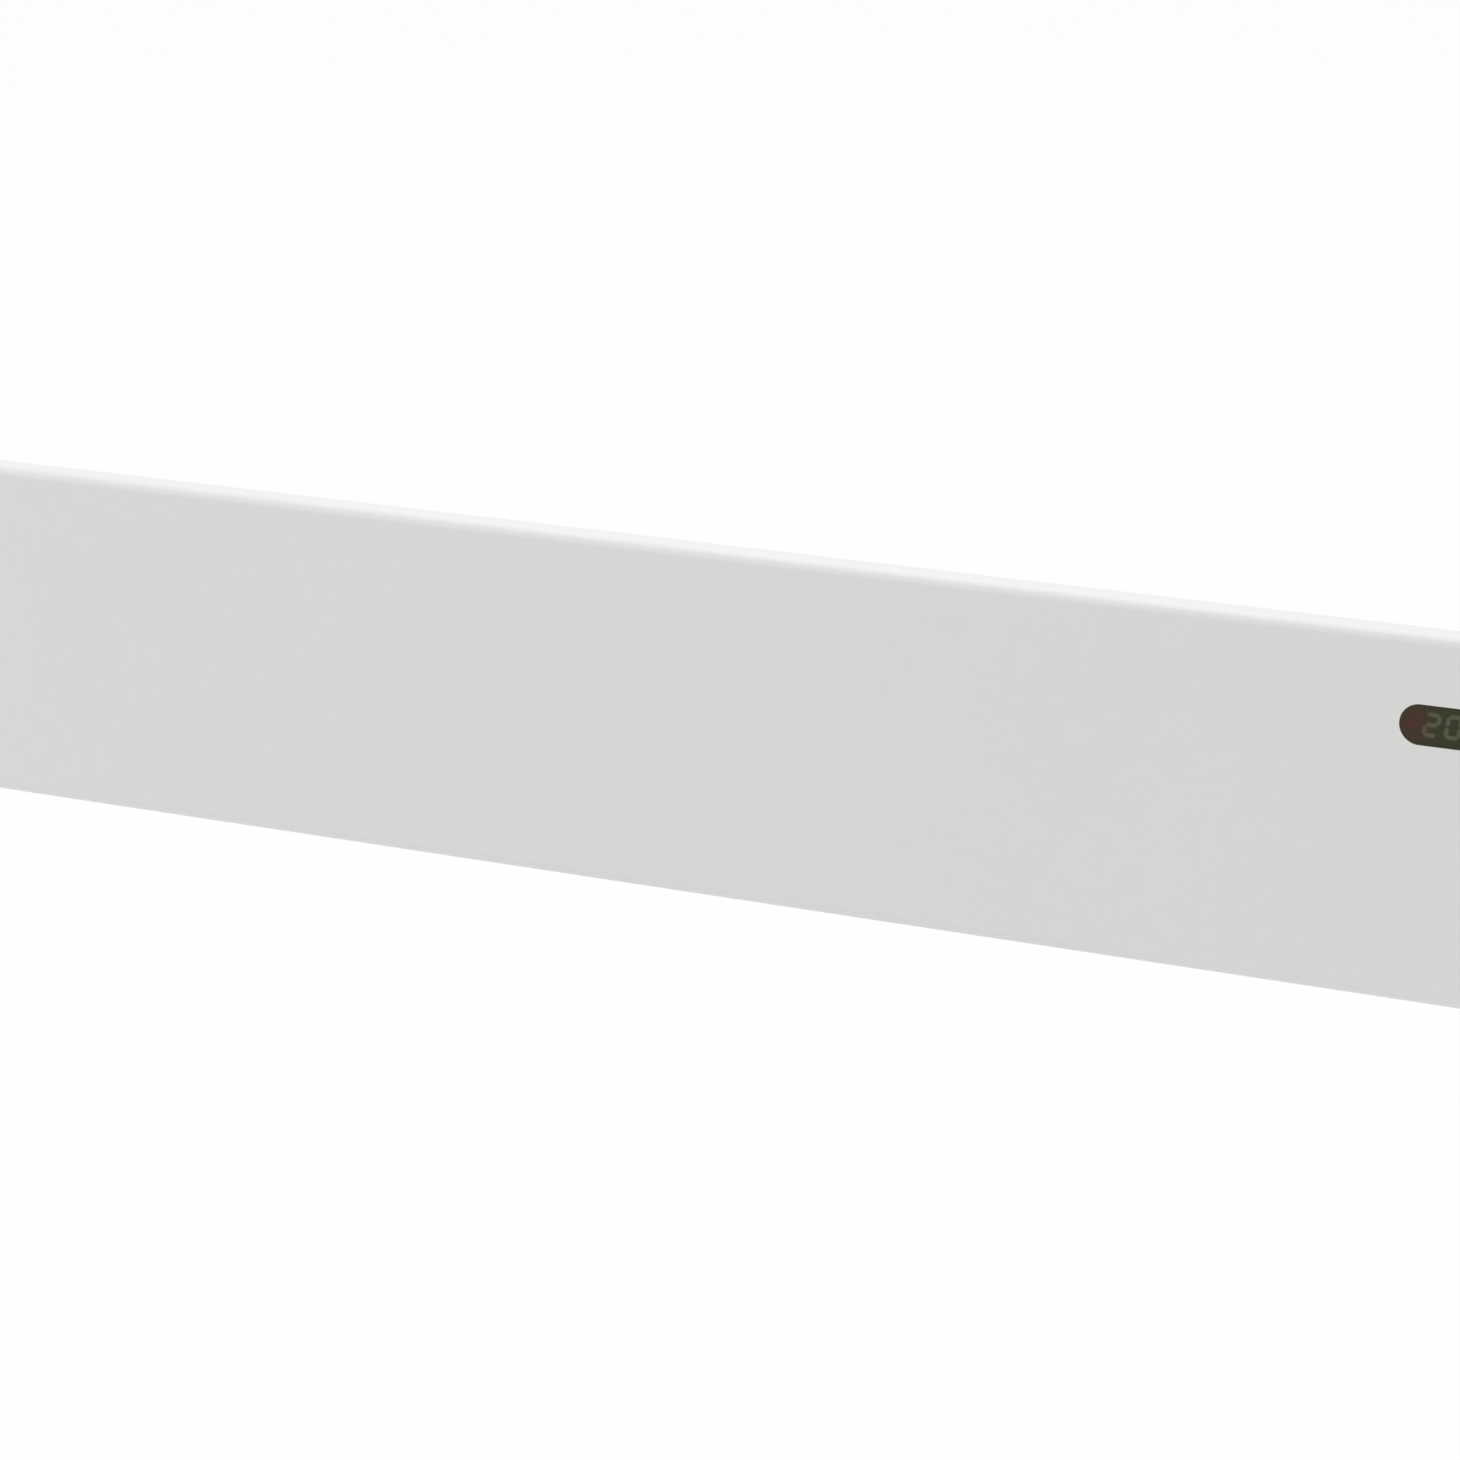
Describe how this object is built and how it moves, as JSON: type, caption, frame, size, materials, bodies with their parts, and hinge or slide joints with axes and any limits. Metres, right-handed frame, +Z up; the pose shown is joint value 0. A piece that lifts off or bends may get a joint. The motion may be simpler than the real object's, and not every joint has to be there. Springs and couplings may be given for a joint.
{
  "type": "wall panel convector heater",
  "caption": "Long, low wall-hung convector heater: folded front panel with a pill-shaped display window, slotted casing with finned element, and a wall bracket that it hooks on.",
  "frame": {"origin": "on the wall plane, at the centre of the wall bracket's four screw holes, level with the middle of the front panel", "axes": "+X to the right along the heater as seen from the room, +Y into the wall, +Z up; the front faces -Y"},
  "size_m": [1.2, 0.0859, 0.22],
  "materials": {
    "front_paint": "satin light-grey powder coat, fine texture",
    "casing_paint": "satin light-grey powder coat",
    "zinc_steel": "zinc-plated sheet steel",
    "shield_steel": "aluminised sheet",
    "fin_aluminium": "extruded aluminium",
    "rod_steel": "sheathed heating rod, heat-tinted",
    "screw_steel": "zinc-plated screws",
    "smoked_lens": "smoked acrylic window",
    "black_plastic": "moulded black plastic",
    "button_plastic": "moulded dark button",
    "grey_plastic": "moulded light-grey end cap",
    "white_plastic": "moulded white plastic",
    "digit_light": "lit grey-green digit bars",
    "red_light": "red indicator",
    "board_green": "circuit board",
    "relay_blue": "relay case",
    "ceramic_white": "insulating bush",
    "brass_contact": "brass contact",
    "rubber_black": "rubber pad",
    "lead_red": "lead insulation",
    "lead_blue": "lead insulation",
    "lead_green": "lead insulation",
    "lead_black": "lead insulation"
  },
  "bodies": {
    "wall_mount": {"wall_bracket": "zinc_steel", "rubber_buffers": "rubber_black"},
    "heater": {"front_panel": "front_paint", "heat_shield": "shield_steel", "rear_casing": "casing_paint", "top_grille": "casing_paint", "end_cap_left": "grey_plastic", "end_cap_right": "grey_plastic", "bay_divider": "zinc_steel", "heating_rod": "rod_steel", "element_fins": "fin_aluminium", "element_bracket_left": "zinc_steel", "element_bracket_mid": "zinc_steel", "rod_bushes": "ceramic_white", "rod_terminals": "screw_steel", "overheat_cutout": "black_plastic", "display_lens": "smoked_lens", "digit_display": "black_plastic", "digit_segments": "digit_light", "status_led": "red_light", "tact_switches": "black_plastic", "control_housing": "black_plastic", "control_cover": "black_plastic", "control_board": "board_green", "power_relay": "relay_blue", "power_transformer": "black_plastic", "power_capacitor": "black_plastic", "board_connector": "board_green", "board_screws": "screw_steel", "panel_studs": "zinc_steel", "stud_nuts": "screw_steel", "terminal_block": "white_plastic", "cable_gland": "black_plastic", "gland_nut": "black_plastic", "switch_body": "black_plastic", "switch_terminals": "brass_contact", "air_sensor": "black_plastic", "sensor_holder": "white_plastic", "earth_stud": "brass_contact", "bracket_rivets": "screw_steel", "panel_screws": "screw_steel", "grille_screws": "screw_steel", "end_cap_screws": "screw_steel", "lead_board_to_cutout": "lead_black", "lead_cutout_to_rod": "lead_black", "lead_rod_to_board": "lead_blue", "lead_sensor": "lead_black", "lead_neutral": "lead_blue", "lead_live_to_switch": "lead_red", "lead_switch_to_board": "lead_red", "lead_earth": "lead_green"},
    "lock_left": {"lock_bolt_left": "black_plastic", "lock_lever_left": "black_plastic"},
    "lock_right": {"lock_bolt_right": "black_plastic", "lock_lever_right": "black_plastic"},
    "minus_key": {"button_minus": "button_plastic"},
    "plus_key": {"button_plus": "button_plastic"},
    "mode_key": {"button_mode": "button_plastic"},
    "rocker": {"switch_rocker": "black_plastic"}
  },
  "joints": [
    {"name": "heater_tilt", "type": "hinge", "parent": "wall_mount", "child": "heater", "pos_m": [0, -0.02, 0.0735], "axis": [-1, 0, 0], "range_deg": [0, 12]},
    {"name": "lock_left_turn", "type": "hinge", "parent": "wall_mount", "child": "lock_left", "pos_m": [-0.23, -0.016, -0.075], "axis": [0, -1, 0], "range_deg": [0, 90]},
    {"name": "lock_right_turn", "type": "hinge", "parent": "wall_mount", "child": "lock_right", "pos_m": [0.23, -0.016, -0.075], "axis": [0, 1, 0], "range_deg": [0, 90]},
    {"name": "switch_rock", "type": "hinge", "parent": "heater", "child": "rocker", "pos_m": [0.5814, -0.045, -0.045], "axis": [0, 1, 0], "range_deg": [0, 18]},
    {"name": "press_minus", "type": "slide", "parent": "heater", "child": "minus_key", "axis": [0, 1, 0], "range_m": [0, 0.0005], "stiffness_N_per_m": 800, "springref_m": -0.0006},
    {"name": "press_plus", "type": "slide", "parent": "heater", "child": "plus_key", "axis": [0, 1, 0], "range_m": [0, 0.0005], "stiffness_N_per_m": 800, "springref_m": -0.0006},
    {"name": "press_mode", "type": "slide", "parent": "heater", "child": "mode_key", "axis": [0, 1, 0], "range_m": [0, 0.0005], "stiffness_N_per_m": 800, "springref_m": -0.0006}
  ]
}
